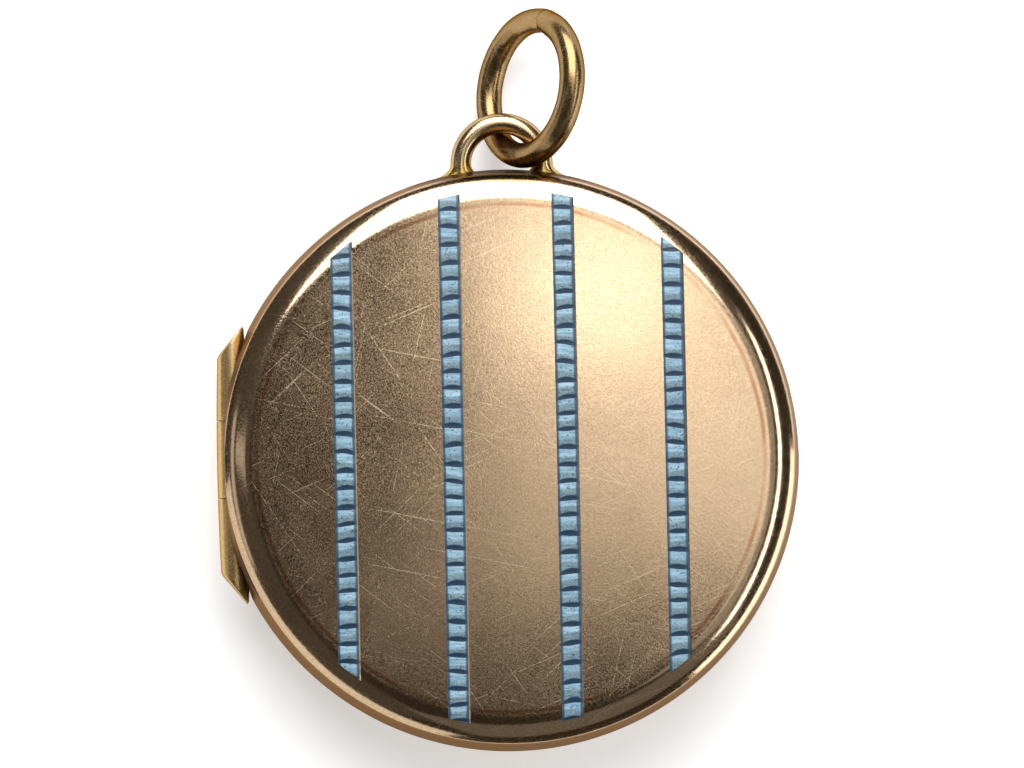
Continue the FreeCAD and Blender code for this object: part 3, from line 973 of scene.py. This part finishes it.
def card_material():
    """Plain aged card with a soft fibre and foxing."""
    material, nodes, shader = new_material("blank_card")
    place = nodes.place()
    fibre = nodes.noise(nodes.mapped(place, (1, 3, 1)), 2500.0, 5.0, 0.7)
    stain = nodes.noise(place, 150.0, 3.0, 0.6)
    paper = nodes.mix(nodes.span(fibre, 0.3, 0.7), (0.62, 0.56, 0.44), (0.72, 0.67, 0.55))
    aged = nodes.mix(nodes.span(stain, 0.5, 0.8, 0.0, 0.5), paper, (0.50, 0.41, 0.27))
    nodes.join(aged, shader.inputs["Base Color"])
    shader.inputs["Roughness"].default_value = 0.85
    nodes.join(nodes.bump(fibre, 0.3, 0.00001), shader.inputs["Normal"])
    return material


def floor_material():
    """A plain white table top, bright enough to run out evenly."""
    material, _, shader = new_material("floor")
    shader.inputs["Base Color"].default_value = (0.86, 0.86, 0.86, 1)
    shader.inputs["Roughness"].default_value = 0.9
    shader.inputs["Emission Color"].default_value = (1, 1, 1, 1)
    shader.inputs["Emission Strength"].default_value = 0.45
    return material


case_gold = gold("worn_gold", CASE_GOLD, 0.13, 0.18, FACE_SCRATCHES, mark_glint_share=0.55, fleck_share=0.4,
                 edge=DARK_EDGE, case=True)
hinge_gold = gold("hinge_gold", HINGE_GOLD, 0.26, 0.36, WIRE_SCRATCHES, 1e-6, edge=DARK_EDGE)
bail_gold = gold("bail_gold", BAIL_GOLD, 0.16, 0.24, WIRE_SCRATCHES, 8e-7, tint=0.2, edge=DARK_EDGE,
                 solder=SOLDER_GOLD)
ring_gold = gold("ring_gold", RING_GOLD, 0.17, 0.30, WIRE_SCRATCHES, 1e-6, tint=0.35, edge=DARK_EDGE,
                 edge_shade=0.6)
inside_gold = gold("inside_gold", INSIDE_GOLD, 0.14, 0.22, WIRE_SCRATCHES, 1e-6)
enamel = enamel_material()
window = window_material()
card = card_material()

# ---------------------------------------------------------------- pieces

add_piece("front_cover_gold", cut_with(outward(front_cover_mesh()), hinge_tools(FRONT)),
          case_gold, "front_half", ["front_cover"], 25)
add_piece("back_cover_gold", cut_with(outward(back_cover_mesh()), hinge_tools(BACK)),
          case_gold, "back_half", ["back_cover"])
add_piece("front_rim_gold", cut_with(rim_ring_mesh(FRONT), hinge_tools(FRONT)),
          inside_gold, "front_half", ["front_rim_ring"])
add_piece("back_rim_gold", cut_with(rim_ring_mesh(BACK), hinge_tools(BACK) + [collar_gap_mesh()]),
          inside_gold, "back_half", ["back_rim_ring"])

for name, low, high, body in (
    ("upper", upper_low.y, upper_high.y, "back_half"),
    ("middle", middle_low.y, middle_high.y, "front_half"),
    ("lower", lower_low.y, lower_high.y, "back_half"),
):
    add_piece(f"knuckle_{name}", knuckle_mesh(f"knuckle_{name}", low, high), hinge_gold, body,
              [f"hinge_knuckle_{name}"])

add_piece("bail_wire", bail_mesh(), bail_gold, "back_half", ["bail_loop"], 50)
add_piece("ring_wire", jump_ring_mesh(), ring_gold, "jump_ring", ["jump_ring"], 50)

for seed, (name, (low, high)) in enumerate(stripe_boxes.items()):
    add_piece(f"enamel_{name}", stripe_mesh(f"enamel_{name}", low, high, seed + 3), enamel,
              "front_half", [f"enamel_stripe_{name}"], 40)

for prefix, side, body in (("back", BACK, "back_half"), ("front", FRONT, "front_half")):
    for name, profile, material, slot, node in (
        ("frame_gold", frame_profile(side), inside_gold, "gold_inside", "photo_frame"),
        ("window_sheet", disc_profile(side, *WINDOW_SPAN), window, "clear_window", "window"),
        ("card_sheet", disc_profile(side, *CARD_SPAN), card, "blank_card", "photo_card"),
    ):
        add_piece(f"{prefix}_{name}", outward(lathe(name, profile)), material, body,
                  [f"{prefix}_{node}"])

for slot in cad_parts["hinge_pin"].material_slots:
    slot.material = hinge_gold

# ---------------------------------------------------------------- stage, light and camera

LIGHT_DISTANCE = 0.8
# (name, azimuth, tilt from overhead, roll, width and height as angles, radiance)
PANELS = [
    ("face_panel", 51, 13.4, -51, 23, 15.2, 0.80),
    ("face_panel_bright", 39, 11.0, 0, 34, 9, 0.46),
    ("top_panel", 88, 46, -6, 52, 52, 4.6),
    ("right_strip", -4, 45, 0, 48, 8, 4.0),
    ("right_near", -3, 22.5, 0, 34, 19, 0.36),
    ("low_right_strip", -22, 83, 0, 50, 13, 2.4),
    ("low_dim", -65, 48, 0, 60, 36, 0.13),
    ("left_strip", 220, 78, 0, 76, 20, 0.9),
    ("left_dim", 180, 47, 0, 110, 64, 0.045),
    ("left_patch", 174, 40, 0, 5, 26, 0.55),
    ("lip_strip", 183, 63, 0, 30, 9, 0.6),
    ("face_panel_top", 58, 9.5, 122, 3.8, 5.0, 2.6),
    ("face_panel_low", -44, 2.6, -46, 10, 4.5, 0.22),
]

# A long lens, so that the view is nearly parallel, a few degrees off the face's axis towards the
# lower left. The view's width and target are millimetres, its roll degrees.
LENS = 450
SENSOR = 36
VIEW_WIDTH = 47.5
VIEW_TARGET = (0.25, 3.53, MID)
VIEW_AXIS = (-0.038, -0.05, 1)
VIEW_ROLL = -1.2


def add_floor():
    """A square table top in metres, just below the locket."""
    half, below = 1.2, 0.00001
    corners = [(-half, -half, 0), (half, -half, 0), (half, half, 0), (-half, half, 0)]
    mesh = bpy.data.meshes.new("floor")
    mesh.from_pydata(corners, [], [(0, 1, 2, 3)])
    mesh.materials.append(floor_material())
    floor = bpy.data.objects.new("floor", mesh)
    bpy.context.scene.collection.objects.link(floor)
    floor.location.z = -below


def add_panel(name, azimuth, tilt, roll, wide, high, radiance):
    """A soft light that faces the locket. The azimuth turns from +X to +Y, the tilt is measured
    from straight overhead, and the panel's two spans are angles too, all in degrees."""
    turn, lean = math.radians(azimuth), math.radians(tilt)
    away = Vector((math.sin(lean) * math.cos(turn), math.sin(lean) * math.sin(turn), math.cos(lean)))
    across = Vector((-math.sin(turn), math.cos(turn), 0))
    up = away.cross(across)
    data = bpy.data.lights.new(name, "AREA")
    data.shape = "RECTANGLE"
    data.size = 2 * LIGHT_DISTANCE * math.tan(math.radians(wide / 2))
    data.size_y = 2 * LIGHT_DISTANCE * math.tan(math.radians(high / 2))
    data.energy = radiance * math.pi * data.size * data.size_y
    light = bpy.data.objects.new(name, data)
    bpy.context.scene.collection.objects.link(light)
    light.matrix_world = (Matrix.Translation(away * LIGHT_DISTANCE)
                          @ Matrix((across, up, away)).transposed().to_4x4()
                          @ Matrix.Rotation(math.radians(roll), 4, "Z"))


def add_world(colour, strength):
    """A dim, even light from all round."""
    world = bpy.data.worlds.new("studio")
    world.use_nodes = True
    background = world.node_tree.nodes["Background"]
    background.inputs["Color"].default_value = (*colour, 1)
    background.inputs["Strength"].default_value = strength
    bpy.context.scene.world = world


def add_camera():
    """The camera that looks down on the locket."""
    data = bpy.data.cameras.new("camera")
    data.lens = LENS
    data.sensor_width = SENSOR
    data.clip_start = 0.01
    camera = bpy.data.objects.new("camera", data)
    bpy.context.scene.collection.objects.link(camera)
    distance = VIEW_WIDTH * MM * data.lens / data.sensor_width
    away = Vector(VIEW_AXIS).normalized()
    camera.location = Vector(VIEW_TARGET) * MM + away * distance
    right = Vector((0, 1, 0)).cross(away).normalized()
    look = Matrix((right, away.cross(right), away)).transposed().to_4x4()
    camera.rotation_euler = (look @ Matrix.Rotation(math.radians(VIEW_ROLL), 4, "Z")).to_euler()
    bpy.context.scene.camera = camera


bpy.context.scene.view_settings.view_transform = "Standard"
add_floor()
add_world((1.0, 0.84, 0.6), 0.033)
for panel in PANELS:
    add_panel(*panel)
add_camera()
